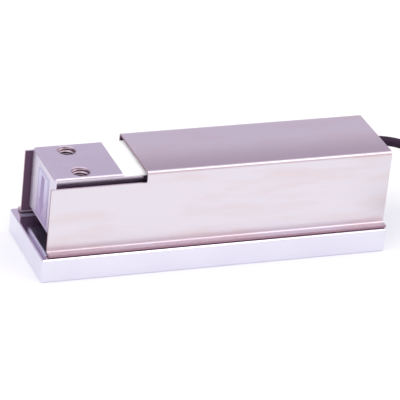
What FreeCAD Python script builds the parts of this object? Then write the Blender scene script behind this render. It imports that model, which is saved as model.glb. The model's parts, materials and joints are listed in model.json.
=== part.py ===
"""Single point load cell on a ground base plate, under a folded sheet cover.

A binocular bending beam stands on a spacer at its fixed end and is free at its live end, where two
tapped holes take the load.  White silicone covers the strain gauges.  The cable leaves the fixed end
through a screwed gland and lies on the surface beside the plate, in a tied coil with bare leads.

Millimetres.  Origin at the centre of the plate's underside, +X towards the cable, +Z up.
"""
import FreeCAD, Part
import math
import os
from FreeCAD import Vector

os.makedirs("parts", exist_ok=True)

# ---------------------------------------------------------------- base plate
plate_length = 202.0
plate_width = 60.0
plate_thickness = 14.0
plate_edge_break = 0.6

base_hole_diameter = 6.0            # tapped M6, for whatever carries the plate
base_hole_depth = 9.0
base_hole_inset_x = 13.0
base_hole_inset_y = 10.0
hole_mouth_bevel = 0.5

# ---------------------------------------------------------------- load cell beam
beam_length = 150.0
beam_width = 40.0
beam_height = 36.5
beam_edge_radius = 1.5
beam_end_bevel = 1.0
beam_setback = 7.0                  # live end of the beam behind the live end of the plate

load_hole_diameter = 10.0           # tapped M10, two across the beam at each end
load_hole_spacing = 25.0
load_hole_inset = 16.7              # from the beam's end to the holes
load_hole_depth = 22.0
fixing_hole_depth = 20.0

window_bore_radius = 13.5           # two bores joined by a slot make the bending window
window_bore_spacing = 42.0
window_slot_height = 12.0
window_corner_radius = 2.0
window_mouth_bevel = 0.6

# ---------------------------------------------------------------- gauges and their silicone
recess_start = 38.7                 # from the live end of the beam
recess_depth = 1.5
top_recess_length = 80.3
bottom_recess_length = 72.6
gauge_length = 9.0
gauge_width = 7.0
gauge_thickness = 0.3
board_length = 16.0
board_width = 12.0
board_thickness = 0.8
wiring_pocket_diameter = 7.0
wiring_passage_diameter = 6.0
wiring_pocket_inset = 4.5           # from the recess's cable end to the pocket
wire_bundle_diameter = 3.2

# ---------------------------------------------------------------- direction label on the live end
label_width = 18.0
label_height = 29.0
label_offset_y = -1.5               # from the middle of the face
label_offset_z = -0.8
label_thickness = 0.2
label_corner_radius = 0.8

# ---------------------------------------------------------------- spacer and its screws
spacer_length = 33.0
spacer_height = 6.5
spacer_side_step = 1.0              # each side of the beam stands this far past the spacer
spacer_edge_break = 0.4
screw_length = 30.0
screw_head_diameter = 16.0          # low cheese head with a hexagon socket
screw_head_height = 6.0
screw_socket_width = 7.0
screw_socket_depth = 3.0
screw_head_recess = 1.0             # the heads lie this far inside the plate
washer_diameter = 18.0
washer_thickness = 1.6
counterbore_diameter = 20.0
screw_hole_clearance = 0.5          # on the radius, in plate, washer and spacer
thread_clearance = 0.05             # on the radius, between a thread and its tapped hole

# ---------------------------------------------------------------- overload stop under the live end
stop_inset = 24.0                   # from the live end of the beam
stop_diameter = 8.0
stop_gap = 0.4                      # travel of the beam before it meets the stop
stop_bottom_recess = 2.0
stop_socket_width = 4.0
stop_socket_depth = 4.5
stop_nut_width = 13.0
stop_nut_height = 4.0

# ---------------------------------------------------------------- folded cover
cover_sheet = 1.2
cover_bend_radius = 1.0             # inside of each bend
cover_side_gap = 2.8                # beam to wall
cover_headroom = 1.3                # beam to the underside of the top
cover_flange = 4.5                  # outwards from the wall
cover_setback = 4.0                 # live end of the cover behind the live end of the plate
cover_lip_drop = 4.0                # walls beside the open end, below the beam's top
seal_showing = 12.4                 # silicone left in view by the open end of the cover
bond_thickness = 0.4                # foam tape under each flange
bond_edge_inset = 0.5

# ---------------------------------------------------------------- cable gland
gland_depth_below_top = 7.5         # gland axis under the beam's top
gland_y = 11.0                      # and towards the rear wall
gland_thread_diameter = 10.0
gland_thread_length = 8.0
gland_hole_depth = 9.0
gland_hex_width = 14.0
gland_hex_length = 4.0
gland_barrel_length = 6.0
gland_seal_length = 2.0
gland_nut_width = 13.0
gland_nut_gap = 0.5                 # between the hexagon and the nut
gland_nut_wall = 1.5
gland_bore_clearance = 0.1          # on the radius, round the cable
relief_length = 18.0
relief_root_diameter = 10.0
relief_tip_diameter = 7.2
relief_grooves = 4
relief_groove_width = 1.6
relief_groove_depth = 0.5

# ---------------------------------------------------------------- cable, coil and bare end
cable_diameter = 5.4
cable_route = [                     # after the relief, by hand, down to the coil
    (99.5, 11.0, 49.5),
    (114.5, 11.2, 47.7),
    (128.0, 11.9, 43.2),
    (138.5, 12.6, 35.0),
    (147.0, 13.2, 25.3),
    (156.5, 13.8, 16.4),
    (167.5, 14.0, 10.4),
    (179.5, 13.9, 8.9),
]
cable_bend_share = 0.45             # of the shorter of two runs, taken up by the arc between them
coil_turns_inwards = 3.5            # upper layer, where the cable arrives
coil_turns_outwards = 3.0           # lower layer, back out to the bare end
coil_middle_radius = 32.0
coil_edge_bevel = 2.2
coil_entry_length = 26.0            # open stretch of the upper layer where the cable comes down
coil_entry_clearance = 0.1
tie_count = 3
tie_first_bearing = 30.0            # degrees round the coil, from +X
tie_width = 5.0
tie_thickness = 0.7
sleeve_diameter = 6.4
sleeve_length = 24.0
sleeve_start = 14.0                 # past the coil's middle, along the last turn's tangent
lead_diameter = 1.3
lead_length = 27.0
lead_spread = 1.45                  # between neighbouring leads at the sleeve
lead_fan = 7.0                      # degrees between neighbouring leads

# ---------------------------------------------------------------- worked-out places
plate_x0 = -plate_length / 2
plate_x1 = plate_length / 2
plate_top = plate_thickness
beam_x0 = plate_x0 + beam_setback
beam_x1 = beam_x0 + beam_length
beam_z0 = plate_top + spacer_height
beam_z1 = beam_z0 + beam_height
beam_middle_x = (beam_x0 + beam_x1) / 2
beam_middle_z = (beam_z0 + beam_z1) / 2
half_beam = beam_width / 2
load_hole_x = beam_x0 + load_hole_inset
fixing_hole_x = beam_x1 - load_hole_inset
hole_sides = (-load_hole_spacing / 2, load_hole_spacing / 2)
recess_x0 = beam_x0 + recess_start
recess_x1 = recess_x0 + top_recess_length
recess_top_floor = beam_z1 - recess_depth
recess_bottom_floor = beam_z0 + recess_depth
gauge_places = (beam_middle_x - window_bore_spacing / 2, beam_middle_x + window_bore_spacing / 2)
pocket_x = recess_x1 - wiring_pocket_inset
gland_z = beam_z1 - gland_depth_below_top
screw_seat = screw_head_recess + screw_head_height + washer_thickness
stop_x = beam_x0 + stop_inset
cover_x0 = plate_x0 + cover_setback
cover_x1 = plate_x1
cover_half = half_beam + cover_side_gap + cover_sheet
cover_top = beam_z1 + cover_headroom + cover_sheet
cover_foot = plate_top + bond_thickness
cover_edge_y = cover_half + cover_flange
window_edge_x = recess_x0 + seal_showing
wall_lip_z = beam_z1 - cover_lip_drop
cable_radius = cable_diameter / 2
gland_bore = cable_radius + gland_bore_clearance
gland_barrel_x = beam_x1 + gland_hex_length
gland_seal_x = gland_barrel_x + gland_barrel_length
gland_wall_x = gland_seal_x + gland_seal_length
relief_x = gland_wall_x + gland_nut_wall
cable_exit_x = relief_x + relief_length
coil_rise = tie_thickness
coil_span = coil_turns_inwards * cable_diameter
coil_outer_radius = coil_middle_radius + coil_span / 2 + cable_radius
coil_inner_radius = coil_middle_radius - coil_span / 2 - cable_radius
coil_height = 2 * cable_diameter
coil_x = cable_route[-1][0]
coil_y = cable_route[-1][1] - (coil_middle_radius + coil_span / 2)
coil_first_radius = coil_middle_radius - coil_span / 2
coil_last_radius = coil_first_radius + coil_turns_outwards * cable_diameter
tail_y = coil_y - coil_last_radius
tail_z = max(coil_rise + cable_radius, sleeve_diameter / 2)
tail_x = coil_x - sleeve_start      # the sleeve runs from here towards -X
through = 1.0                       # a cutting solid stands this far past what it cuts

ALONG_X = Vector(1, 0, 0)
ALONG_Y = Vector(0, 1, 0)
UP = Vector(0, 0, 1)


# ---------------------------------------------------------------- helpers
def block(x0, x1, y0, y1, z0, z1):
    """A box between two corners."""
    return Part.makeBox(x1 - x0, y1 - y0, z1 - z0, Vector(x0, y0, z0))


def rod(radius, x, y, z0, z1):
    """An upright cylinder."""
    return Part.makeCylinder(radius, z1 - z0, Vector(x, y, z0), UP)


def rod_along_x(radius, x0, x1, y, z):
    """A lying cylinder, along the beam."""
    return Part.makeCylinder(radius, x1 - x0, Vector(x0, y, z), ALONG_X)


def gland_rod(radius, x0, x1):
    """A cylinder on the gland's axis."""
    return rod_along_x(radius, x0, x1, gland_y, gland_z)


def rod_along_y(radius, x, z, y0, y1):
    """A lying cylinder, across the beam."""
    return Part.makeCylinder(radius, y1 - y0, Vector(x, y0, z), ALONG_Y)


def countersink(radius, bevel, x, y, mouth, out):
    """The cone that bevels a hole's mouth; out is +1 where the mouth faces up."""
    start = Vector(x, y, mouth + out * through)
    return Part.makeCone(radius + bevel + through, radius, bevel + through, start, Vector(0, 0, -out))


def hexagon(width, x, y, z0, z1):
    """An upright hexagonal prism, width across its flats."""
    corner = width / math.sqrt(3)
    angles = [math.radians(60 * k + 30) for k in range(7)]
    ring = [Vector(x + corner * math.cos(a), y + corner * math.sin(a), z0) for a in angles]
    return Part.Face(Part.makePolygon(ring)).extrude(Vector(0, 0, z1 - z0))


def hexagon_along_x(width, x0, x1, y, z):
    """A lying hexagonal prism with flats above and below."""
    corner = width / math.sqrt(3)
    angles = [math.radians(60 * k) for k in range(7)]
    ring = [Vector(x0, y + corner * math.cos(a), z + corner * math.sin(a)) for a in angles]
    return Part.Face(Part.makePolygon(ring)).extrude(Vector(x1 - x0, 0, 0))


def edges_where(shape, test):
    """The edges whose two ends and middle all pass the test."""
    found = []
    for edge in shape.Edges:
        middle = edge.valueAt((edge.FirstParameter + edge.LastParameter) / 2)
        points = [v.Point for v in edge.Vertexes] + [middle]
        if all(test(p) for p in points):
            found.append(edge)
    return found


def near(value, place):
    """True where a coordinate lies on a place."""
    return abs(value - place) < 1e-6


def rounded_path(corners, radii):
    """Edges along a row of corners, with an arc of its own radius at each inner corner."""
    edges = []
    start = corners[0]
    for before, corner, after, radius in zip(corners, corners[1:], corners[2:], radii):
        into = (corner - before).normalize()
        out = (after - corner).normalize()
        half_turn = into.getAngle(out) / 2
        reach = radius * math.tan(half_turn)
        first = corner - into * reach
        last = corner + out * reach
        inward = (out - into).normalize()
        centre = corner + inward * (radius / math.cos(half_turn))
        middle = centre - inward * radius
        edges.append(Part.makeLine(start, first))
        edges.append(Part.Arc(first, middle, last).toShape())
        start = last
    edges.append(Part.makeLine(start, corners[-1]))
    return edges


def save(name, shape):
    """Check a node's solids and write them."""
    if not shape.isValid():
        raise ValueError(name + " is not a valid solid")
    shape.exportStep("parts/" + name + ".step")
    print("%-22s %d solid(s) %10.1f mm3" % (name, len(shape.Solids), shape.Volume))


# ---------------------------------------------------------------- base plate
def make_base_plate():
    """A ground bar with broken edges, counterbores for the beam's screws and tapped holes."""
    plate = block(plate_x0, plate_x1, -plate_width / 2, plate_width / 2, 0, plate_top)
    plate = plate.makeChamfer(plate_edge_break, plate.Edges)
    cuts = []
    for y in hole_sides:
        hole_radius = load_hole_diameter / 2 + screw_hole_clearance
        cuts.append(rod(hole_radius, fixing_hole_x, y, -through, plate_top + through))
        cuts.append(rod(counterbore_diameter / 2, fixing_hole_x, y, -through, screw_seat))
    for side_x in (-1, 1):
        for side_y in (-1, 1):
            x = side_x * (plate_length / 2 - base_hole_inset_x)
            y = side_y * (plate_width / 2 - base_hole_inset_y)
            radius = base_hole_diameter / 2
            cuts.append(rod(radius, x, y, -through, base_hole_depth))
            cuts.append(countersink(radius, hole_mouth_bevel, x, y, 0, -1))
    cuts.append(rod(stop_diameter / 2, stop_x, 0, -through, plate_top + through))
    return plate.cut(Part.makeCompound(cuts))


# ---------------------------------------------------------------- load cell beam
def beam_envelope():
    """The bar before any holes: long edges rounded, end edges bevelled."""
    bar = block(beam_x0, beam_x1, -half_beam, half_beam, beam_z0, beam_z1)
    long_edges = [e for e in bar.Edges if near(e.Vertexes[0].X, -e.Vertexes[1].X + 2 * beam_middle_x)]
    bar = bar.makeFillet(beam_edge_radius, long_edges)
    ends = edges_where(bar, lambda p: near(p.x, beam_x0)) + edges_where(bar, lambda p: near(p.x, beam_x1))
    return bar.makeChamfer(beam_end_bevel, ends)


def bending_window():
    """Two bores across the beam joined by a slot, with rounded corners where they meet."""
    y0 = -half_beam - through
    y1 = half_beam + through
    tool = block(gauge_places[0], gauge_places[1], y0, y1,
                 beam_middle_z - window_slot_height / 2, beam_middle_z + window_slot_height / 2)
    for x in gauge_places:
        tool = tool.fuse(rod_along_y(window_bore_radius, x, beam_middle_z, y0, y1))
    tool = tool.removeSplitter()
    corners = []
    for edge in tool.Edges:
        a, b = edge.Vertexes[0].Point, edge.Vertexes[-1].Point
        crosses = near(a.x, b.x) and near(a.z, b.z)
        if crosses and near(abs(a.z - beam_middle_z), window_slot_height / 2):
            corners.append(edge)
    return tool.makeFillet(window_corner_radius, corners)


def recess_box(length, floor, roof):
    """The space of a gauge recess, right across the beam."""
    return block(recess_x0, recess_x0 + length, -half_beam - through, half_beam + through, floor, roof)


def wiring_space():
    """The pocket under the terminal board and the passage from it to the gland's thread."""
    radius = wiring_pocket_diameter / 2
    pocket = rod(radius, pocket_x, gland_y, gland_z - radius, recess_top_floor)
    passage = gland_rod(wiring_passage_diameter / 2, pocket_x, beam_x1 - gland_hole_depth)
    return pocket.fuse(passage)


def make_beam():
    """The bending beam with its window, gauge recesses, tapped holes and wiring passage."""
    beam = beam_envelope().cut(bending_window())
    reach_x = (window_bore_spacing + beam_height) / 2
    reach_z = (window_bore_radius + beam_height / 2) / 2
    mouths = []
    for side in (-half_beam, half_beam):
        mouths += edges_where(beam, lambda p: near(p.y, side) and abs(p.x - beam_middle_x) < reach_x
                              and abs(p.z - beam_middle_z) < reach_z)
    beam = beam.makeChamfer(window_mouth_bevel, mouths)
    cuts = [
        recess_box(top_recess_length, recess_top_floor, beam_z1 + through),
        recess_box(bottom_recess_length, beam_z0 - through, recess_bottom_floor),
        gland_rod(gland_thread_diameter / 2, beam_x1 - gland_hole_depth, beam_x1 + through),
        wiring_space(),
    ]
    radius = load_hole_diameter / 2
    for y in hole_sides:
        cuts.append(rod(radius, load_hole_x, y, beam_z1 - load_hole_depth, beam_z1 + through))
        cuts.append(countersink(radius, hole_mouth_bevel, load_hole_x, y, beam_z1, 1))
        cuts.append(rod(radius, fixing_hole_x, y, beam_z0 - through, beam_z0 + fixing_hole_depth))
        cuts.append(countersink(radius, hole_mouth_bevel, fixing_hole_x, y, beam_z0, -1))
    for cut in cuts:
        beam = beam.cut(cut)
    return beam


# ---------------------------------------------------------------- gauges, board, wires and silicone
def make_gauge(x, floor, side):
    """One foil gauge on a recess floor; side is +1 on the beam's top and -1 under it."""
    z0, z1 = sorted((floor, floor + side * gauge_thickness))
    return block(x - gauge_length / 2, x + gauge_length / 2, -gauge_width / 2, gauge_width / 2, z0, z1)


def make_terminal_board():
    """The small board over the wiring pocket, where gauge wires meet the cable's wires."""
    return block(pocket_x - board_length + wiring_pocket_inset, pocket_x + wiring_pocket_inset,
                 gland_y - board_width / 2, gland_y + board_width / 2,
                 recess_top_floor, recess_top_floor + board_thickness)


def make_cable_inner_end():
    """The cable inside relief and gland, then its stripped wires up to the terminal board."""
    strip_x = beam_x1 - gland_thread_length
    wire_radius = wire_bundle_diameter / 2
    jacket = gland_rod(cable_radius, strip_x, cable_exit_x)
    run = gland_rod(wire_radius, pocket_x, strip_x)
    elbow = Part.makeSphere(wire_radius, Vector(pocket_x, gland_y, gland_z))
    rise = rod(wire_radius, pocket_x, gland_y, gland_z, recess_top_floor)
    return jacket.fuse(run).fuse(elbow).fuse(rise).removeSplitter()


def make_seal(length, floor, side, inside):
    """Silicone that fills a recess flush with the beam's faces, round what lies in it."""
    z0, z1 = sorted((floor, floor + side * (recess_depth + through)))
    seal = beam_envelope().common(recess_box(length, z0, z1))
    for piece in inside:
        seal = seal.cut(piece)
    return seal


# ---------------------------------------------------------------- label
def make_direction_label():
    """A thin foil plate on the beam's live end face."""
    y = label_offset_y
    z = beam_middle_z + label_offset_z
    label = block(beam_x0 - label_thickness, beam_x0, y - label_width / 2, y + label_width / 2,
                  z - label_height / 2, z + label_height / 2)
    corners = [e for e in label.Edges if near(e.Vertexes[0].Y, e.Vertexes[1].Y)
               and near(e.Vertexes[0].Z, e.Vertexes[1].Z)]
    return label.makeFillet(label_corner_radius, corners)


# ---------------------------------------------------------------- spacer, screws and washers
def make_spacer():
    """The block that lifts the fixed end off the plate."""
    half = half_beam - spacer_side_step
    spacer = block(beam_x1 - spacer_length, beam_x1, -half, half, plate_top, beam_z0)
    upright = [e for e in spacer.Edges if near(e.Vertexes[0].X, e.Vertexes[1].X)
               and near(e.Vertexes[0].Y, e.Vertexes[1].Y)]
    spacer = spacer.makeChamfer(spacer_edge_break, upright)
    for y in hole_sides:
        radius = load_hole_diameter / 2 + screw_hole_clearance
        spacer = spacer.cut(rod(radius, fixing_hole_x, y, plate_top - through, beam_z0 + through))
    return spacer


def make_screw(y):
    """A low-head socket screw from under the plate into the beam."""
    head_top = screw_head_recess + screw_head_height
    head = rod(screw_head_diameter / 2, fixing_hole_x, y, screw_head_recess, head_top)
    rims = edges_where(head, lambda p: near(p.z, screw_head_recess))
    head = head.makeChamfer(hole_mouth_bevel, rims)
    shank_radius = load_hole_diameter / 2 - thread_clearance
    shank = rod(shank_radius, fixing_hole_x, y, head_top, head_top + screw_length)
    tips = edges_where(shank, lambda p: near(p.z, head_top + screw_length))
    shank = shank.makeChamfer(hole_mouth_bevel, tips)
    socket = hexagon(screw_socket_width, fixing_hole_x, y, 0, screw_head_recess + screw_socket_depth)
    return head.fuse(shank).removeSplitter().cut(socket)


def make_washer(y):
    """A flat washer between a screw head and its counterbore."""
    seat = screw_seat - washer_thickness
    ring = rod(washer_diameter / 2, fixing_hole_x, y, seat, screw_seat)
    return ring.cut(rod(load_hole_diameter / 2 + screw_hole_clearance, fixing_hole_x, y, seat, screw_seat))


# ---------------------------------------------------------------- overload stop
def make_stop_screw():
    """A set screw up through the plate that catches the live end when it is overloaded."""
    top = beam_z0 - stop_gap
    screw = rod(stop_diameter / 2 - thread_clearance, stop_x, 0, stop_bottom_recess, top)
    screw = screw.makeChamfer(hole_mouth_bevel, edges_where(screw, lambda p: near(p.z, top)))
    socket_top = stop_bottom_recess + stop_socket_depth
    return screw.cut(hexagon(stop_socket_width, stop_x, 0, 0, socket_top))


def make_stop_nut():
    """The thin nut that locks the stop screw on top of the plate."""
    nut = hexagon(stop_nut_width, stop_x, 0, plate_top, plate_top + stop_nut_height)
    crown = Part.makeCone(stop_nut_width / 2 + stop_nut_height, stop_nut_width / 2, stop_nut_height,
                          Vector(stop_x, 0, plate_top), UP)
    nut = nut.common(crown)
    return nut.cut(rod(stop_diameter / 2, stop_x, 0, plate_top - through, beam_z0))


# ---------------------------------------------------------------- cover
def make_cover():
    """One sheet folded to a hat section, its top cut away over the live end."""
    outer = [(-cover_edge_y, cover_foot + cover_sheet), (-cover_half, cover_foot + cover_sheet),
             (-cover_half, cover_top), (cover_half, cover_top),
             (cover_half, cover_foot + cover_sheet), (cover_edge_y, cover_foot + cover_sheet)]
    wall = cover_half - cover_sheet
    inner = [(-cover_edge_y, cover_foot), (-wall, cover_foot),
             (-wall, cover_top - cover_sheet), (wall, cover_top - cover_sheet),
             (wall, cover_foot), (cover_edge_y, cover_foot)]
    tight = cover_bend_radius
    wide = cover_bend_radius + cover_sheet
    outside = [Vector(cover_x0, y, z) for y, z in outer]
    inside = [Vector(cover_x0, y, z) for y, z in inner]
    path = rounded_path(outside, (tight, wide, wide, tight))
    path.append(Part.makeLine(outside[-1], inside[-1]))
    path += rounded_path(inside, (wide, tight, tight, wide))
    path.append(Part.makeLine(inside[0], outside[0]))
    section = Part.Face(Part.Wire(Part.__sortEdges__(path)))
    sheet = section.extrude(Vector(cover_x1 - cover_x0, 0, 0))
    reach = cover_half + through
    opening = block(cover_x0 - through, window_edge_x, -reach, reach, wall_lip_z, cover_top + through)
    return sheet.cut(opening)


def make_bond_strip(side):
    """The foam tape under one flange."""
    wall = cover_half - cover_sheet
    bend = cover_bend_radius + cover_sheet
    y0, y1 = sorted((side * (wall + bend), side * (cover_edge_y - bond_edge_inset)))
    return block(cover_x0 + bond_edge_inset, cover_x1 - bond_edge_inset, y0, y1, plate_top, cover_foot)


# ---------------------------------------------------------------- gland
def make_gland_body():
    """A screwed-in body: thread, hexagon and barrel, bored for the cable."""
    barrel_radius = gland_thread_diameter / 2 - thread_clearance
    body = gland_rod(barrel_radius, beam_x1 - gland_thread_length, beam_x1)
    body = body.fuse(hexagon_along_x(gland_hex_width, beam_x1, gland_barrel_x, gland_y, gland_z))
    body = body.fuse(gland_rod(barrel_radius, gland_barrel_x, gland_seal_x))
    bore = gland_rod(gland_bore, beam_x1 - gland_thread_length - through, gland_seal_x + through)
    return body.removeSplitter().cut(bore)


def make_gland_seal():
    """The rubber ring that the nut presses round the cable."""
    ring = gland_rod(gland_thread_diameter / 2 - thread_clearance, gland_seal_x, gland_wall_x)
    return ring.cut(gland_rod(gland_bore, gland_seal_x, gland_wall_x))


def make_gland_nut():
    """The cap nut over barrel and seal."""
    x0 = gland_barrel_x + gland_nut_gap
    nut = hexagon_along_x(gland_nut_width, x0, relief_x, gland_y, gland_z)
    spread = relief_x - x0
    rounding = Part.makeCone(gland_nut_width / 2 + spread, gland_nut_width / 2, spread,
                             Vector(x0, gland_y, gland_z), ALONG_X)
    nut = nut.common(rounding)
    nut = nut.cut(gland_rod(gland_thread_diameter / 2, x0 - through, gland_wall_x))
    return nut.cut(gland_rod(gland_bore, gland_wall_x - through, relief_x + through))


def make_strain_relief():
    """A tapered rubber sleeve with rounded grooves that lets it bend."""
    relief = Part.makeCone(relief_root_diameter / 2, relief_tip_diameter / 2, relief_length,
                           Vector(relief_x, gland_y, gland_z), ALONG_X)
    pitch = relief_length / (relief_grooves + 1)
    for k in range(relief_grooves):
        middle = relief_x + (k + 1) * pitch
        share = (middle - relief_x) / relief_length
        radius = (relief_root_diameter + share * (relief_tip_diameter - relief_root_diameter)) / 2
        x0 = middle - relief_groove_width / 2
        x1 = middle + relief_groove_width / 2
        ring = gland_rod(relief_root_diameter, x0, x1)
        ring = ring.cut(gland_rod(radius - relief_groove_depth, x0, x1))
        relief = relief.cut(ring)
    bore = gland_rod(gland_bore, relief_x - through, cable_exit_x + through)
    return relief.cut(bore)


# ---------------------------------------------------------------- cable
def make_coil():
    """The outer shape of the coil: a ring with bevelled edges, open where the cable comes down."""
    foot = Vector(coil_x, coil_y, coil_rise)
    ring = Part.makeCylinder(coil_outer_radius, coil_height, foot, UP)
    ring = ring.cut(Part.makeCylinder(coil_inner_radius, coil_height, foot, UP))
    ring = ring.makeChamfer(coil_edge_bevel, [e for e in ring.Edges if e.Closed])
    side = cable_route[-1][1] - cable_radius - coil_entry_clearance
    floor = coil_rise + cable_diameter - coil_entry_clearance
    tilt = cable_radius * (cable_route[-2][2] - cable_route[-1][2]) / (coil_x - cable_route[-2][0])
    entry = block(coil_x - coil_entry_length, coil_x + tilt, side, coil_y + coil_outer_radius + through,
                  floor, coil_rise + coil_height + through)
    return ring.cut(entry)


def make_cable():
    """Straight runs joined by tangent arcs, from the strain relief down to the coil."""
    points = [Vector(cable_exit_x, gland_y, gland_z)] + [Vector(*p) for p in cable_route]
    radii = []
    for before, corner, after in zip(points, points[1:], points[2:]):
        turn = (corner - before).getAngle(after - corner)
        shorter = min((corner - before).Length, (after - corner).Length)
        radii.append(cable_bend_share * shorter / math.tan(turn / 2))
    print("cable radii", [round(r, 1) for r in radii])
    path = Part.Wire(rounded_path(points, radii))
    start = (points[1] - points[0]).normalize()
    section = Part.Wire(Part.makeCircle(cable_radius, points[0], start))
    tube = path.makePipeShell([section], True, False)
    expected = math.pi * cable_radius ** 2 * path.Length
    print("cable run %.1f mm, volume over section x length %.4f" % (path.Length, tube.Volume / expected))
    inwards = coil_turns_inwards * math.pi * (2 * coil_first_radius + coil_span)
    outwards = coil_turns_outwards * math.pi * (coil_first_radius + coil_last_radius)
    coil_length = inwards + outwards
    print("coil %.0f mm, cable in all about %.0f mm" % (coil_length, coil_length + path.Length))
    return tube


def make_ties(coil):
    """Narrow bands round the coil's section, on which it rests."""
    ties = []
    outer = coil_outer_radius + tie_thickness
    inner = coil_inner_radius - tie_thickness
    for k in range(tie_count):
        angle = 360.0 * k / tie_count + tie_first_bearing
        band = block(coil_x + inner, coil_x + outer, coil_y - tie_width / 2, coil_y + tie_width / 2,
                     0, coil_height + 2 * tie_thickness)
        band.rotate(Vector(coil_x, coil_y, 0), UP, angle)
        ties.append(band.cut(coil))
    return Part.makeCompound(ties)


def make_end_sleeve(coil):
    """The shrink sleeve where the jacket ends, along the last turn's tangent."""
    return rod_along_x(sleeve_diameter / 2, tail_x - sleeve_length, tail_x, tail_y, tail_z).cut(coil)


def make_lead(number, count):
    """One bare-ended lead, fanned out and down to the surface."""
    step = number - (count - 1) / 2
    fan = math.radians(step * lead_fan)
    radius = lead_diameter / 2
    root = Vector(tail_x - sleeve_length, tail_y + step * lead_spread, tail_z)
    reach = Vector(-lead_length * math.cos(fan), lead_length * math.sin(fan), radius - tail_z)
    back = root - reach.normalize() * lead_diameter
    lead = Part.makeCylinder(radius, lead_length + lead_diameter, back, reach)
    inside_sleeve = block(root.x, root.x + lead_length, root.y - lead_length, root.y + lead_length,
                          -through, 2 * tail_z)
    below_surface = block(root.x - 2 * lead_length, root.x, root.y - lead_length, root.y + lead_length,
                          -lead_diameter, 0)
    return lead.cut(inside_sleeve).cut(below_surface)


# ---------------------------------------------------------------- build
inner_end = make_cable_inner_end()
board = make_terminal_board()
top_gauges = [make_gauge(x, recess_top_floor, 1) for x in gauge_places]
bottom_gauges = [make_gauge(x, recess_bottom_floor, -1) for x in gauge_places]
coil = make_coil()

save("base_plate", make_base_plate())
save("load_cell_beam", make_beam())
save("top_gauge_seal", make_seal(top_recess_length, recess_top_floor, 1, top_gauges + [board]))
save("bottom_gauge_seal", make_seal(bottom_recess_length, recess_bottom_floor, -1, bottom_gauges))
for end, top_gauge, bottom_gauge in zip(("live", "fixed"), top_gauges, bottom_gauges):
    save("strain_gauge_top_" + end, top_gauge)
    save("strain_gauge_bottom_" + end, bottom_gauge)
save("terminal_board", board)
save("cable_inner_end", inner_end)
save("direction_label", make_direction_label())
save("mounting_spacer", make_spacer())
save("fixing_screws", Part.makeCompound([make_screw(y) for y in hole_sides]))
save("fixing_washers", Part.makeCompound([make_washer(y) for y in hole_sides]))
save("overload_stop_screw", make_stop_screw())
save("overload_stop_nut", make_stop_nut())
save("cover", make_cover())
for side_name, side in (("front", -1), ("rear", 1)):
    save("bond_strip_" + side_name, make_bond_strip(side))
save("gland_body", make_gland_body())
save("gland_seal", make_gland_seal())
save("gland_nut", make_gland_nut())
save("strain_relief", make_strain_relief())
save("signal_cable", make_cable())
save("cable_coil", coil)
save("coil_ties", make_ties(coil))
save("cable_end_sleeve", make_end_sleeve(coil))
lead_colours = ("red", "green", "white", "black")
for number, colour in enumerate(lead_colours):
    save("lead_" + colour, make_lead(number, len(lead_colours)))
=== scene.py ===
# %% [markdown]
# # A single point load cell, from bare frame to finished picture
#
# The construction model gives the exact metal: a ground base plate, a slotted bending beam, a
# folded cover and the screws that hold them. This script adds what construction models leave out:
# how each surface was made, how a cable really lies, and the light that shows it.
# Everything is in metres. The long way is X, with the cable at the positive end. Y goes away from
# the viewer, and Z is up from the underside of the plate.

# %% Tools and frame
import json
import math

import bpy
import numpy as np
from mathutils import Matrix, Vector


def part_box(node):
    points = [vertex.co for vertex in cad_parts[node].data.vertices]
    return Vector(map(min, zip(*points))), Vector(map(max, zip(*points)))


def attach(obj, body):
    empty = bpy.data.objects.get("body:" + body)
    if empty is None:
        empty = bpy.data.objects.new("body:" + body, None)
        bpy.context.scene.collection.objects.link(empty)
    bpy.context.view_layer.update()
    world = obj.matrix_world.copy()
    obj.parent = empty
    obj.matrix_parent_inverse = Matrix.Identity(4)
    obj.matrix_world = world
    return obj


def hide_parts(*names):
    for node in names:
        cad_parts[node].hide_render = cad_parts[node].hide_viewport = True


def plain(box):
    """The two corners of a box as lists of ordinary numbers."""
    return [[float(value) for value in corner] for corner in box]


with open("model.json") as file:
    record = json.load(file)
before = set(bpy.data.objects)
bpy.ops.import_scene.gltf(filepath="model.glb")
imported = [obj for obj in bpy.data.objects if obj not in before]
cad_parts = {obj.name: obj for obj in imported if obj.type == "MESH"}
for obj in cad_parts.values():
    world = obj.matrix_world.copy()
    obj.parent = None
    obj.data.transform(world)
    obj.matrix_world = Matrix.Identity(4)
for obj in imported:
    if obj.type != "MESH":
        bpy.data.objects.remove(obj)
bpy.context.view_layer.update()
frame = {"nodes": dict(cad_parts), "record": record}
nodes = frame["nodes"]

# %% [markdown]
# ## Sizes that several steps share
#
# Each place that both a finish and a new piece depend on is written once here. A finish that
# colours only a part of a surface compares the point with these places, and reaches `margin` past
# the edge so that no seam stays unpainted.

# %% Driving sizes
cable_exit = (0.0875, 0.011, 0.0495)
cable_radius = 0.0027
coil_centre = np.array([0.1795, -0.02755])
upper_layer = 0.0088
lower_layer = 0.0034
beam_top = 0.057
beam_end = -0.094
hole_x = -0.0773
hole_side = 0.0125
mouth_radius = 0.00553
mouth_depth = 0.001
thread_major = 0.005
thread_minor = 0.00425
thread_pitch = 0.0015
wall_inner = 0.0228
sheet = 0.0012
margin = 0.0001
cover_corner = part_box("cover")[1]
flange_edge, cover_top = float(cover_corner[1]), float(cover_corner[2])
print("cover top at", round(cover_top, 4), "and flange edge at", round(flange_edge, 4))

# %% [markdown]
# ## The camera
#
# The view was solved from the corners of the plate and cover: a long lens from the front left, with
# a slight roll. The three axes below are the camera's own right, up and backwards. Written as the
# columns of one matrix they turn the camera without any Euler angles, so no order of turns matters.

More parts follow.
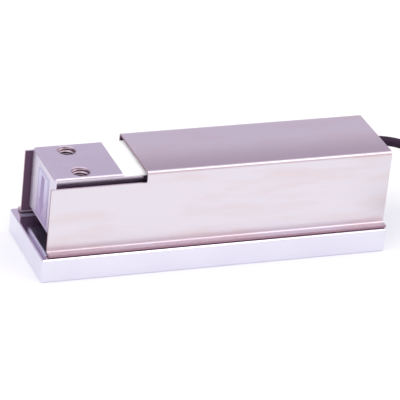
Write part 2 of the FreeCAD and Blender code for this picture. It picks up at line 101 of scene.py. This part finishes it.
# %% Camera
aim = Vector((-0.00337, -0.00552, 0.02913))
distance = 1.63975
azimuth = math.radians(-22.9765)
elevation = math.radians(27.5868)
roll = math.radians(6.184)
forward = Vector((-math.sin(azimuth) * math.cos(elevation),
                  math.cos(azimuth) * math.cos(elevation),
                  -math.sin(elevation)))
level_right = forward.cross(Vector((0, 0, 1))).normalized()
level_up = level_right.cross(forward)
right = level_right * math.cos(roll) + level_up * math.sin(roll)
up = level_up * math.cos(roll) - level_right * math.sin(roll)
turned = Matrix((right, up, -forward)).transposed().to_4x4()
lens = bpy.data.cameras.new("camera")
lens.sensor_width = 36.0
lens.lens = 267.47
camera = bpy.data.objects.new("camera", lens)
camera.matrix_world = Matrix.Translation(aim - forward * distance) @ turned
bpy.context.scene.collection.objects.link(camera)
bpy.context.scene.camera = camera
print("camera at", [round(value, 4) for value in camera.matrix_world.translation])

# %% [markdown]
# ## Shader arithmetic
#
# A procedural finish is a formula of the place on the surface. Two small classes let that formula
# be written as ordinary Python. `Signal` is one output of a node: adding or multiplying it makes a
# Math node. `Finish` is one material, and its `node` method adds any other node.


# %% Signal and Finish
class Signal:
    """One output of a node. Python's operators on it build further Math nodes."""

    def __init__(self, finish, socket):
        self.finish = finish
        self.socket = socket

    def math(self, operation, *values):
        """A Math node of the given operation on this output and any further values."""
        return self.finish.node("Math", {"operation": operation}, dict(enumerate((self, *values))))

    def __add__(self, other):
        return self.math("ADD", other)

    def __sub__(self, other):
        return self.math("SUBTRACT", other)

    def __rsub__(self, other):
        return self.math("MULTIPLY_ADD", -1.0, other)

    def __mul__(self, other):
        return self.math("MULTIPLY", other)

    __radd__ = __add__
    __rmul__ = __mul__

    def __lt__(self, other):
        return self.math("LESS_THAN", other)

    def __gt__(self, other):
        return self.math("GREATER_THAN", other)

    def __abs__(self):
        return self.math("ABSOLUTE")

    def larger(self, other):
        """The larger of the two; of two masks, the surface that either covers."""
        return self.math("MAXIMUM", other)

    def smooth(self, low, high):
        """Rises from 0 at low to 1 at high, flat at both ends."""
        return self.finish.node("MapRange", {"interpolation_type": "SMOOTHSTEP"},
                                {0: self, 1: low, 2: high, 3: 0.0, 4: 1.0})


class Finish:
    """The node tree of one material or world."""

    def __init__(self, owner):
        owner.use_nodes = True
        self.owner = owner
        self.tree = owner.node_tree

    def node(self, kind, settings=None, inputs=None, output=0):
        """Adds a node, sets it, feeds its inputs with numbers or Signals, and gives one output."""
        made = self.tree.nodes.new("ShaderNode" + kind)
        for name, value in (settings or {}).items():
            setattr(made, name, value)
        for key, value in (inputs or {}).items():
            self.feed(made.inputs[key], value)
        return Signal(self, made.outputs[output])

    def feed(self, socket, value):
        """Links a Signal to a socket, or sets the socket's own value."""
        if isinstance(value, Signal):
            self.tree.links.new(value.socket, socket)
        else:
            socket.default_value = value

    def place(self):
        """The point on the object, in metres."""
        return self.node("TexCoord", output="Object")

    def split(self, vector):
        """The three numbers of a vector."""
        parts = self.node("SeparateXYZ", inputs={0: vector}).socket.node
        return [Signal(self, socket) for socket in parts.outputs]

    def axes(self):
        """The three numbers of the point on the object."""
        return self.split(self.place())

    def noise(self, stretch, detail=3.0):
        """Smooth noise from 0 to 1, with stretch features to the metre along each axis."""
        scaled = self.node("VectorMath", {"operation": "MULTIPLY"}, {0: self.place(), 1: stretch})
        return self.node("TexNoise", inputs={"Vector": scaled, "Scale": 1.0, "Detail": detail})

    def blend(self, share, low, high):
        """A colour between low, at share 0, and high, at share 1."""
        low, high = [c if isinstance(c, Signal) else (*c, 1.0) for c in (low, high)]
        return self.node("Mix", {"data_type": "RGBA"}, {0: share, 6: low, 7: high}, output=2)

    def bump(self, height, depth):
        """A normal from a height of 0 to 1 that stands for depth in metres."""
        return self.node("Bump", inputs={"Strength": 1.0, "Distance": depth, "Height": height})

    def ray(self, kind):
        """1 for light paths of that kind, such as Camera or Glossy, else 0."""
        return self.node("LightPath", output="Is %s Ray" % kind)

    def surface(self, sockets):
        """Feeds the material's Principled shader and gives the material back."""
        shader = self.tree.nodes["Principled BSDF"]
        for name, value in sockets.items():
            self.feed(shader.inputs[name], value)
        return self.owner


def material(name):
    """A new, empty finish by that name."""
    return Finish(bpy.data.materials.new(name))


# %% [markdown]
# ## Metal finishes
#
# The cover is sheet that was brushed along its length before folding, so its scratches run along X.
# The same long noise moves the roughness and a very shallow bump; a second, softer noise gives the
# warm and cool clouds of rolled sheet. Its inner faces are painted dark, as shade, and made duller;
# its top is painted darker towards the near edge, as shade; and its sheared edges are dull. The
# base plate is ground flat and almost mirrors its surroundings. The beam is finely ground steel,
# duller than the plate. The countersunk mouths of its holes show the marks of the cutter in their
# roughness and are painted darker, as shade, and its end face is painted darker towards the bottom,
# as half shade.


# %% Metals
def ground_beam():
    """Fine ground steel; rougher hole mouths with painted shade, painted half shade on the end."""
    finish = material("beam_steel")
    x, y, z = finish.axes()
    grain = finish.noise((60.0, 520.0, 520.0), 5.0)
    clouds = finish.noise((30.0, 45.0, 45.0), 3.0).smooth(0.38, 0.66)
    off_x, off_y = x - hole_x, abs(y) - hole_side
    # Painted shade: the countersunk mouths are painted darker as well as made rougher.
    mouth = (off_x * off_x + off_y * off_y < mouth_radius ** 2) * (z > beam_top - mouth_depth)
    # Painted half shade: the end face darkens towards the bottom.
    end_shade = (x < beam_end + 5 * margin) * (0.25 + 0.43 * z.smooth(0.052, 0.022))
    steel = finish.blend(clouds, (0.76, 0.73, 0.84), (0.73, 0.69, 0.80))
    steel = finish.blend(end_shade, steel, (0.42, 0.34, 0.50))
    return finish.surface({
        "Base Color": finish.blend(mouth, steel, (0.56, 0.48, 0.57)),
        "Metallic": 1.0,
        "Roughness": 0.24 + 0.10 * grain + 0.2 * mouth,
        "Normal": finish.bump(grain, 0.000004),
    })


def ground_metal(name, colour, shade, rough):
    """Flat ground metal: fine even grain, and a little staining in the roughness."""
    finish = material(name)
    grain = finish.noise((900.0, 1400.0, 900.0), 4.0)
    stain = finish.noise((22.0, 34.0, 22.0), 4.0).smooth(0.35, 0.7)
    return finish.surface({
        "Base Color": finish.blend(stain, colour, shade),
        "Metallic": 1.0,
        "Roughness": rough + 0.05 * grain + 0.05 * stain,
        "Normal": finish.bump(grain, 0.000002),
    })


def plated_metal(name, colour, rough):
    """Small plated fittings: a smooth skin with slightly uneven thickness."""
    finish = material(name)
    mottle = finish.noise((420.0, 420.0, 420.0), 3.0)
    return finish.surface({
        "Base Color": finish.blend(mottle, colour, tuple(0.8 * c for c in colour)),
        "Metallic": 1.0,
        "Roughness": rough + 0.12 * mottle,
        "Normal": finish.bump(mottle, 0.000015),
    })


def folded_cover():
    """Brushed outside, painted shade inside and along the top's near edge, dull where sheared."""
    finish = material("brushed_cover")
    x, y, z = finish.axes()
    facing_x = finish.split(finish.node("NewGeometry", output="True Normal"))[0]
    sheared = (abs(facing_x) > 0.8).larger(abs(y) > flange_edge - margin)
    # Painted shade: the faces inside the cover are painted near black, and made less metallic and
    # rougher.
    shaded_inside = (abs(y) < wall_inner + margin) * (z < cover_top - sheet + margin)
    # Painted shade: the top darkens towards its near edge.
    near_edge_shade = (z > cover_top - 3 * margin) * y.smooth(0.006, -0.024)
    scuff = z.smooth(0.0200, 0.0165) * (abs(y) < wall_inner + sheet + 2 * margin)
    scratches = finish.noise((6.0, 320.0, 320.0), 5.0)
    clouds = finish.noise((20.0, 60.0, 105.0), 4.0).smooth(0.42, 0.72)
    skin = finish.blend(clouds, (0.76, 0.72, 0.79), (0.75, 0.66, 0.70))
    skin = finish.blend(near_edge_shade, skin, (0.56, 0.49, 0.56))
    skin = finish.blend(sheared, skin, (0.42, 0.28, 0.34))
    skin = finish.blend(shaded_inside, skin, (0.135, 0.07, 0.13))
    return finish.surface({
        "Base Color": skin,
        "Metallic": 1.0 - 0.8 * shaded_inside,
        "Roughness": 0.27 + 0.14 * scratches + 0.15 * sheared + 0.2 * shaded_inside + 0.22 * scuff,
        "Normal": finish.bump(scratches, 0.000005),
    })


def cut_thread():
    """Oiled cut steel that darkens down the hole, where little light arrives."""
    finish = material("cut_thread")
    depth = (beam_top - finish.axes()[2]).smooth(0.0, 0.007)
    smear = finish.noise((700.0, 700.0, 900.0), 3.0)
    return finish.surface({
        "Base Color": finish.blend(depth, (0.66, 0.56, 0.64), (0.05, 0.03, 0.045)),
        "Metallic": 1.0,
        "Roughness": 0.30 + 0.14 * smear,
    })


finishes = {
    "brushed_cover": folded_cover(),
    "beam_steel": ground_beam(),
    "cut_thread": cut_thread(),
    "ground_aluminium": ground_metal("ground_aluminium", (0.80, 0.79, 0.90), (0.77, 0.76, 0.87),
                                     0.07),
    "spacer_steel": ground_metal("spacer_steel", (0.62, 0.60, 0.66), (0.52, 0.50, 0.56), 0.26),
    "zinc_screws": plated_metal("zinc_screws", (0.66, 0.68, 0.74), 0.24),
    "nickel_gland": plated_metal("nickel_gland", (0.74, 0.71, 0.66), 0.16),
}
print("metal finishes:", ", ".join(finishes))

# %% [markdown]
# ## Rubber, silicone, tape and wire
#
# These are dielectrics, so their colour is in the body and the gloss is colourless. The cable
# jacket is matt PVC with a faint drag from the extruder, the relief is rubber, and the ties are
# woven hook tape. The seal is white silicone: light goes a few millimetres into it and out again,
# so it also gets a share of scattering under the skin.


# %% Soft finishes
def moulded(name, colour, lighter, rough, stretch, depth, shine=0.5, milky=0.0):
    """Moulded or extruded plastic: a fine uneven skin in colour, gloss and bump."""
    finish = material(name)
    skin = finish.noise(stretch, 4.0)
    return finish.surface({
        "Base Color": finish.blend(skin, colour, lighter),
        "Specular IOR Level": shine,
        "Subsurface Weight": milky,
        "Subsurface Radius": (1.0, 1.0, 1.0),
        "Subsurface Scale": 0.003,
        "Roughness": rough + 0.14 * skin,
        "Normal": finish.bump(skin, depth),
    })


def woven(name, colour, lighter, threads):
    """Tape of crossed threads: two sines multiplied give the weave's small squares."""
    finish = material(name)
    x, y, z = finish.axes()
    lines = (threads * (x + y)).math("SINE")
    rows = (threads * (z - x + y)).math("SINE")
    weave = 0.5 + 0.5 * (lines * rows)
    return finish.surface({
        "Base Color": finish.blend(weave, colour, lighter),
        "Roughness": 0.72 + 0.12 * weave,
        "Normal": finish.bump(weave, 0.00006),
    })


def tinned_wire(name, colour, stripped_from=0.1195):
    """A coloured lead whose last millimetres, below that x, are stripped and tinned."""
    finish = material(name)
    bare = finish.axes()[0] < stripped_from
    skin = finish.noise((500.0, 500.0, 500.0), 3.0)
    insulation = finish.blend(skin, colour, tuple(0.85 * c for c in colour))
    return finish.surface({
        "Base Color": finish.blend(bare, insulation, (0.72, 0.70, 0.68)),
        "Metallic": bare,
        "Roughness": 0.34 + 0.1 * skin,
    })


moulded_recipes = {
    "black_rubber": dict(colour=(0.018, 0.016, 0.018), lighter=(0.03, 0.028, 0.03), rough=0.5,
                         stretch=(320.0, 320.0, 320.0), depth=0.00001),
    "cable_jacket": dict(colour=(0.018, 0.003, 0.022), lighter=(0.026, 0.006, 0.030), rough=0.6,
                         stretch=(260.0, 260.0, 260.0), depth=0.00001, shine=0.3),
    "white_silicone": dict(colour=(0.90, 0.90, 0.93), lighter=(0.93, 0.93, 0.95), rough=0.38,
                           stretch=(70.0, 160.0, 120.0), depth=0.0001, milky=0.8),
    "foam_tape": dict(colour=(0.20, 0.10, 0.13), lighter=(0.27, 0.14, 0.17), rough=0.7,
                      stretch=(1500.0, 1500.0, 1500.0), depth=0.00005),
    "circuit_board": dict(colour=(0.03, 0.16, 0.07), lighter=(0.05, 0.22, 0.1), rough=0.4,
                          stretch=(900.0, 900.0, 900.0), depth=0.00001),
    "gauge_foil": dict(colour=(0.62, 0.38, 0.14), lighter=(0.74, 0.5, 0.24), rough=0.4,
                       stretch=(2500.0, 300.0, 300.0), depth=0.00001),
}
wire_colours = {
    "red_wire": (0.55, 0.02, 0.02),
    "green_wire": (0.02, 0.28, 0.06),
    "white_wire": (0.8, 0.8, 0.78),
    "black_wire": (0.02, 0.02, 0.022),
}
finishes.update({name: moulded(name, **recipe) for name, recipe in moulded_recipes.items()})
finishes.update({name: tinned_wire(name, colour) for name, colour in wire_colours.items()})
finishes["tie_band"] = woven("tie_band", (0.010, 0.010, 0.014), (0.03, 0.03, 0.036), 5200.0)
print(len(finishes), "finishes so far")

# %% [markdown]
# ## The load direction label
#
# A small printed foil on the live end says which way is down. Print has no thickness worth
# modelling, so it is a mask: distances from the foil's border and from the arrow's outline,
# compared with the width of the line. The comparison keeps the print sharp at any distance.


# %% Label
def direction_label():
    """Pale foil with a thin border line and an arrow, both from distances in the foil's plane."""
    finish = material("label_foil")
    x, y, z = finish.axes()
    middle_y, middle_z, half_y, half_z = -0.0015, 0.03795, 0.009, 0.0145
    border_inset, half_line = 0.0012, 0.0003
    arrow_y, half_shaft, half_head = -0.0010, 0.0028, 0.0046
    tip_z, neck_z, tail_z = 0.0252, 0.0346, 0.0493
    past_edge = (abs(y - middle_y) - half_y).larger(abs(z - middle_z) - half_z)
    border = abs(past_edge + border_inset) < half_line
    across = abs(y - arrow_y)
    shaft = (across < half_shaft) * (z > neck_z) * (z < tail_z)
    head = (across < half_head / (neck_z - tip_z) * (z - tip_z)) * (z < neck_z + 0.1 * margin)
    ink = border.larger(shaft).larger(head)
    grain = finish.noise((900.0, 900.0, 900.0), 2.0)
    # Painted reflection: the foil darkens towards the bottom.
    painted_reflection = finish.blend(z.smooth(0.0235, 0.0500), (0.30, 0.20, 0.39), (0.54, 0.52, 0.70))
    foil = finish.blend(0.2 * grain, painted_reflection, (0.85, 0.80, 0.96))
    return finish.surface({
        "Base Color": finish.blend(ink, foil, (0.29, 0.21, 0.40)),
        "Roughness": 0.42 + 0.1 * grain,
    })


finishes["label_foil"] = direction_label()
print("label foil ready")

# %% [markdown]
# ## Painting the construction nodes
#
# The part's record names a material slot for every node. The finishes carry the same names, so each
# node finds its own finish and none is left in a flat colour.

# %% Finishes onto the construction nodes
record_slots = {part["node"]: part["material_slot"] for part in frame["record"]["subparts"]}
for name, node in nodes.items():
    for slot in node.material_slots:
        slot.material = finishes[record_slots[name]]
print("painted", len(nodes), "nodes")

# %% [markdown]
# ## Surfaces from formulas
#
# Every new piece below is a surface: a formula gives a point for each pair of numbers (u, v), and
# numpy works it out for a whole grid at once. This step joins each point to its neighbours with
# four-sided faces, so the pieces only have to supply their formula. A closed surface is joined
# across v, so that its last column meets its first.


# %% Surface to mesh
def surface_object(name, grid, finish, closed=False):
    """A smooth mesh over a grid of points, or a stack of equal grids, riding on the rigid body."""
    grids = grid.reshape(-1, *grid.shape[-3:])
    corner = np.arange(grids[..., 0].size).reshape(grids.shape[:3])
    low, high = corner[:, :-1], corner[:, 1:]
    if closed:
        quads = [low, high, np.roll(high, -1, axis=2), np.roll(low, -1, axis=2)]
    else:
        quads = [low[:, :, :-1], high[:, :, :-1], high[:, :, 1:], low[:, :, 1:]]
    mesh = bpy.data.meshes.new(name)
    faces = np.stack(quads, axis=-1).reshape(-1, 4)
    mesh.from_pydata(grid.reshape(-1, 3).tolist(), [], faces.tolist())
    mesh.materials.append(finishes[finish])
    mesh.shade_smooth()
    made = bpy.data.objects.new(name, mesh)
    bpy.context.scene.collection.objects.link(made)
    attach(made, "root")
    print(name, len(faces), "faces")
    return made


# %% [markdown]
# ## The cable
#
# A cable is stiff: it leaves the relief straight, sags in one long bend to the floor and is wound
# into a flat coil of two layers, inwards on top and outwards below. It is one curve with a round
# section. Its control points are the route's corners and then points round the spiral; a quadratic
# spline through corners cuts each of them with a parabola, which is how a stiff cable passes a
# bend. The spiral's points stand outside the wanted radius by the share that the spline cuts off.


# %% Cable
def spiral(start_turn, turns, radii, heights, per_turn=24):
    """Points round the coil, clockwise from above; radii and heights are (share, value) tables."""
    share = np.linspace(0.0, 1.0, int(round(turns * per_turn)) + 1)
    angle = 2 * np.pi * (start_turn - turns * share)
    radius = np.interp(share, *zip(*radii)) / np.cos(np.pi / per_turn)
    height = np.interp(share, *zip(*heights))
    ring = coil_centre + radius[:, None] * np.stack([np.cos(angle), np.sin(angle)], axis=1)
    return np.column_stack([ring, height])


route = np.array([cable_exit, (0.0995, 0.0110, 0.0495), (0.1145, 0.0112, 0.0477),
                  (0.1280, 0.0119, 0.0432), (0.1385, 0.0126, 0.0350), (0.1470, 0.0132, 0.0253),
                  (0.1565, 0.0138, 0.0164), (0.1675, 0.0140, 0.0104)])
outer, inner, last = 0.04145, 0.02255, 0.03875
drop, tuck = 0.12, 0.0008
tail_y = coil_centre[1] - last
inwards = spiral(0.25, 3.5, radii=[(0, outer), (1, inner)],
                 heights=[(0, upper_layer), (1, upper_layer)])
outwards = spiral(-0.25, 3.0,
                  radii=[(0, inner), (drop / 2, inner - tuck), (drop, inner), (1, last)],
                  heights=[(0, upper_layer), (drop, lower_layer), (1, lower_layer)])
tail = np.array([(0.1710, tail_y, lower_layer), (0.1630, tail_y, lower_layer)])
points = np.vstack([route, inwards, outwards[1:], tail])

curve = bpy.data.curves.new("signal_lead", "CURVE")
curve.dimensions = "3D"
curve.bevel_depth = cable_radius
curve.bevel_resolution = 6
curve.resolution_u = 4
curve.use_fill_caps = True
spline = curve.splines.new("NURBS")
spline.points.add(len(points) - 1)
spline.points.foreach_set("co", np.column_stack([points, np.ones(len(points))]).ravel())
spline.order_u = 3
spline.use_endpoint_u = True
lead = bpy.data.objects.new("signal_lead", curve)
bpy.context.scene.collection.objects.link(lead)
curve.materials.append(finishes["cable_jacket"])
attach(lead, "root")
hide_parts("signal_cable", "cable_coil")
print("cable of", len(points), "control points")

# %% [markdown]
# ## Tapped holes
#
# The two holes at the live end are tapped M10. The construction model keeps them plain. Here each
# gets a helical sleeve: the angle winds down the hole while a triangle wave over one pitch moves
# the surface between the major and the minor radius, so neighbouring turns share one edge. The
# wave is cut off at its top, which leaves the flat crest of a real thread.


# %% Threads
def helical_thread(name, x, y, top, turns, around=48, across=6):
    """Point = radius(v) round the angle u, lowered by one pitch a turn and by v of a pitch."""
    u = np.linspace(0.0, 2 * np.pi * turns, turns * around + 1)[:, None]
    v = np.linspace(0.0, 1.0, across + 1)[None, :]
    hole_gap, steepness = 0.00002, 1.25
    ridge = np.clip(steepness * (1.0 - np.abs(2.0 * v - 1.0)), 0.0, 1.0)
    run_in = np.clip(u / np.pi, 0.0, 1.0)
    radius = thread_major - hole_gap - (thread_major - thread_minor) * ridge * run_in
    height = top - thread_pitch * (u / (2 * np.pi) + v)
    grid = np.stack([x + radius * np.cos(u), y + radius * np.sin(u), height], axis=-1)
    return surface_object(name, grid, "cut_thread")


first_turn = beam_top - 0.0006
helical_thread("load_thread_1", hole_x, -hole_side, first_turn, turns=12)
helical_thread("load_thread_2", hole_x, hole_side, first_turn, turns=12)

# %% [markdown]
# ## The ties round the coil
#
# Three straps of hook tape hold the turns. Each is a loop drawn tight over the pack of cables, so
# it is straight along the flat sides and rounded over the turns at the corners. For every direction
# the loop takes the turn that lies furthest that way: that is how a tight band chooses what it
# rests on. The strap's own section, a flat rounded bar, is carried round that loop. The three
# straps are one mesh, because they are cut from one strip and carry one finish.


# %% Ties
def layer_span(bearing, level, reach=0.14):
    """Smallest and largest radius of the turns at one level within reach radians of a bearing."""
    wound = np.vstack([inwards, outwards])
    offset = wound[:, :2] - coil_centre
    across = np.angle(np.exp(1j * (np.arctan2(offset[:, 1], offset[:, 0]) - bearing)))
    here = (np.abs(across) < reach) & (np.abs(wound[:, 2] - level) < cable_radius / 2)
    radius = np.hypot(*offset[here].T)
    return radius.min(), radius.max()


def squared(wave, power=0.4):
    """A sine or cosine pushed out towards 1 and -1, which squares a circle up into a bar."""
    return np.sign(wave) * np.abs(wave) ** power


def strap(bearing, width, thick, around=96, across=16):
    """Point = the corner turn furthest along the direction u, plus the cable's radius that way,
    plus the bar's section at v."""
    low_in, low_out = layer_span(bearing, lower_layer)
    high_in, high_out = layer_span(bearing, upper_layer)
    corners = np.array([(low_in, lower_layer), (low_out, lower_layer),
                        (high_in, upper_layer), (high_out, upper_layer)])
    u = np.linspace(0.0, 2 * np.pi, around + 1)
    v = np.linspace(0.0, 2 * np.pi, across, endpoint=False)
    facing = np.stack([np.cos(u), np.sin(u)])
    furthest = corners[np.argmax(corners @ facing, axis=0)][:, None, :]
    lift = cable_radius + thick / 2 + thick / 2 * squared(np.cos(v))
    aside = width / 2 * squared(np.sin(v))
    path = furthest + facing.T[:, None, :] * lift[None, :, None]
    x = coil_centre[0] + path[..., 0] * np.cos(bearing) - aside * np.sin(bearing)
    y = coil_centre[1] + path[..., 0] * np.sin(bearing) + aside * np.cos(bearing)
    return np.stack([x, y, path[..., 1]], axis=-1)


bearings = [math.radians(degrees) for degrees in (30, 150, 270)]
loops = np.stack([strap(bearing, width=0.005, thick=0.0006) for bearing in bearings])
straps = surface_object("coil_straps", loops, "tie_band", closed=True)
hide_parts("coil_ties")

# %% [markdown]

# %% [markdown]
# ## The silicone over the gauges
#
# The recess is filled by hand and drawn off with a spatula. The fill follows the beam's rounded
# edges, stands a little proud in the middle and keeps faint drag ripples. One section across the
# beam is swept along the recess: quarter arcs at both edges, a low crown between them.


# %% Silicone
def silicone_fill(name, low, high, edge, crown, along=120, across=40, arc=8):
    """Point = the section's (y, z) at each x; z gains crown times a flat hump and ripples."""
    (x0, _, floor), (x1, half, top) = low, high
    turn = np.linspace(0.0, np.pi / 2, arc + 1)
    rise_y = -half + edge * (1 - np.cos(turn))
    rise_z = top - edge + edge * np.sin(turn)
    middle = np.linspace(-half + edge, half - edge, across + 1)[1:-1]
    y = np.concatenate([rise_y, middle, -rise_y[::-1]])
    z = np.concatenate([rise_z, np.full(len(middle), top), rise_z[::-1]])
    x = np.linspace(x0, x1, along + 1)[:, None]
    run_out = np.clip(np.minimum(x - x0, x1 - x) / edge, 0.0, 1.0) ** 0.5
    hump = (1.0 - (y / half) ** 6) * run_out
    ripple = 0.2 * np.sin(2300.0 * x + 260.0 * y) + 0.15 * np.sin(900.0 * x - 700.0 * y)
    height = np.maximum(z + crown * hump * (1.0 + ripple), floor)
    grid = np.stack(np.broadcast_arrays(x, y, height), axis=-1)
    return surface_object(name, grid, "white_silicone")


seal_low, seal_high = plain(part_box("top_gauge_seal"))
fill = silicone_fill("silicone_fill", seal_low, seal_high, edge=0.0015, crown=0.0003)
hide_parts("top_gauge_seal")

# %% [markdown]
# ## Floor
#
# The object stands on plain pale paper that runs out to white. Where the floor lights the object it
# is an ordinary diffuse surface. Where it is looked at, directly or in polished metal, it shines a
# little of its own light, so that it is nearly white round the object and still keeps the object's
# shadow.


# %% Floor
def floor_material():
    """Diffuse where it lights the object, and part of its own light where it is looked at."""
    finish = material("floor")
    nodes_used = finish.tree.nodes
    nodes_used.remove(nodes_used["Principled BSDF"])
    seen = finish.ray("Camera").larger(finish.ray("Glossy")).larger(finish.ray("Transmission"))
    plain_paper = finish.node("BsdfDiffuse", inputs={"Color": (0.80, 0.79, 0.82, 1.0)})
    lit_paper = finish.node("BsdfDiffuse", inputs={"Color": (0.66, 0.64, 0.52, 1.0)})
    own_light = finish.node("Emission", inputs={"Color": (0.24, 0.26, 0.42, 1.0)})
    pale = finish.node("AddShader", inputs={0: lit_paper, 1: own_light})
    x, y, _ = finish.axes()
    far = (x * x + y * y).math("SQRT").smooth(0.20, 0.50)
    white = finish.node("Emission", inputs={"Color": (1.0, 1.0, 1.0, 1.0)})
    sweep = finish.node("MixShader", inputs={0: far, 1: pale, 2: white})
    mixed = finish.node("MixShader", inputs={0: seen, 1: plain_paper, 2: sweep})
    finish.feed(nodes_used["Material Output"].inputs["Surface"], mixed)
    return finish.owner


reach = 3.0
floor_mesh = bpy.data.meshes.new("floor")
floor_mesh.from_pydata([(-reach, -reach, 0), (reach, -reach, 0), (reach, reach, 0),
                        (-reach, reach, 0)], [], [(0, 1, 2, 3)])
floor_mesh.materials.append(floor_material())
floor = bpy.data.objects.new("floor", floor_mesh)
bpy.context.scene.collection.objects.link(floor)
print("floor", 2 * reach, "metres wide")

# %% [markdown]
# ## Surroundings
#
# Polished metal shows what is round it, so the surroundings are a part of the finish. They are
# bright low down, a dim lavender at middle height, which is what the level faces mirror, bright
# again higher up, which draws the white line along the cover's bend, and dim straight overhead, so
# that the level faces keep their tone from above as well. Only rays that bounced off a glossy
# surface meet these bands. Diffuse surfaces get an even pale light, and the camera sees white.


# %% World
def studio_world():
    """Bands of light by height and side for glossy rays, even light for diffuse ones."""
    world = bpy.data.worlds.new("studio")
    finish = Finish(world)
    _, away, height = finish.split(finish.node("TexCoord", output="Generated"))
    dim = finish.blend(away.smooth(-0.4, 0.4), (0.66, 0.46, 0.51), (0.64, 0.55, 0.665))
    bands = finish.blend(height.smooth(0.08, 0.28), (1.0, 0.99, 1.0), dim)
    bands = finish.blend(height.smooth(0.72, 0.88), bands, (1.0, 1.0, 1.0))
    bands = finish.blend(height.smooth(0.88, 0.97), bands, (0.26, 0.24, 0.27))
    around = finish.blend(finish.ray("Glossy"), (0.80, 0.79, 0.81), bands)
    looked_at = finish.ray("Camera").larger(finish.ray("Transmission"))
    shown = finish.blend(looked_at, around, (1.0, 1.0, 1.0))
    finish.feed(finish.tree.nodes["Background"].inputs["Color"], shown)
    return world


bpy.context.scene.world = studio_world()
print("world ready")

# %% [markdown]
# ## Lamps
#
# Three large soft lamps stand round the object: one overhead and one at each side, all a little in
# front. They are wide for their power, so that their reflections in the metal stay below white, and
# near enough to leave one soft shadow under the plate.


# %% Lamps
def soft_lamp(name, place, size, watts, colour):
    """A square lamp at place that faces the middle of the floor."""
    lamp = bpy.data.lights.new(name, "AREA")
    lamp.shape = "SQUARE"
    lamp.size = size
    lamp.energy = watts
    lamp.color = colour
    holder = bpy.data.objects.new(name, lamp)
    holder.location = place
    holder.rotation_euler = (-Vector(place)).to_track_quat("-Z", "Y").to_euler()
    bpy.context.scene.collection.objects.link(holder)
    print(name, "lamp,", watts, "watts")


soft_lamp("overhead", (-0.05, -0.15, 1.15), size=1.4, watts=4.8, colour=(1.0, 0.99, 1.0))
soft_lamp("left", (-0.85, -0.30, 0.75), size=1.2, watts=3.8, colour=(1.0, 1.0, 0.99))
soft_lamp("right", (0.85, -0.30, 0.72), size=1.2, watts=4.1, colour=(1.0, 1.0, 0.99))
bpy.context.scene.view_settings.view_transform = "Standard"
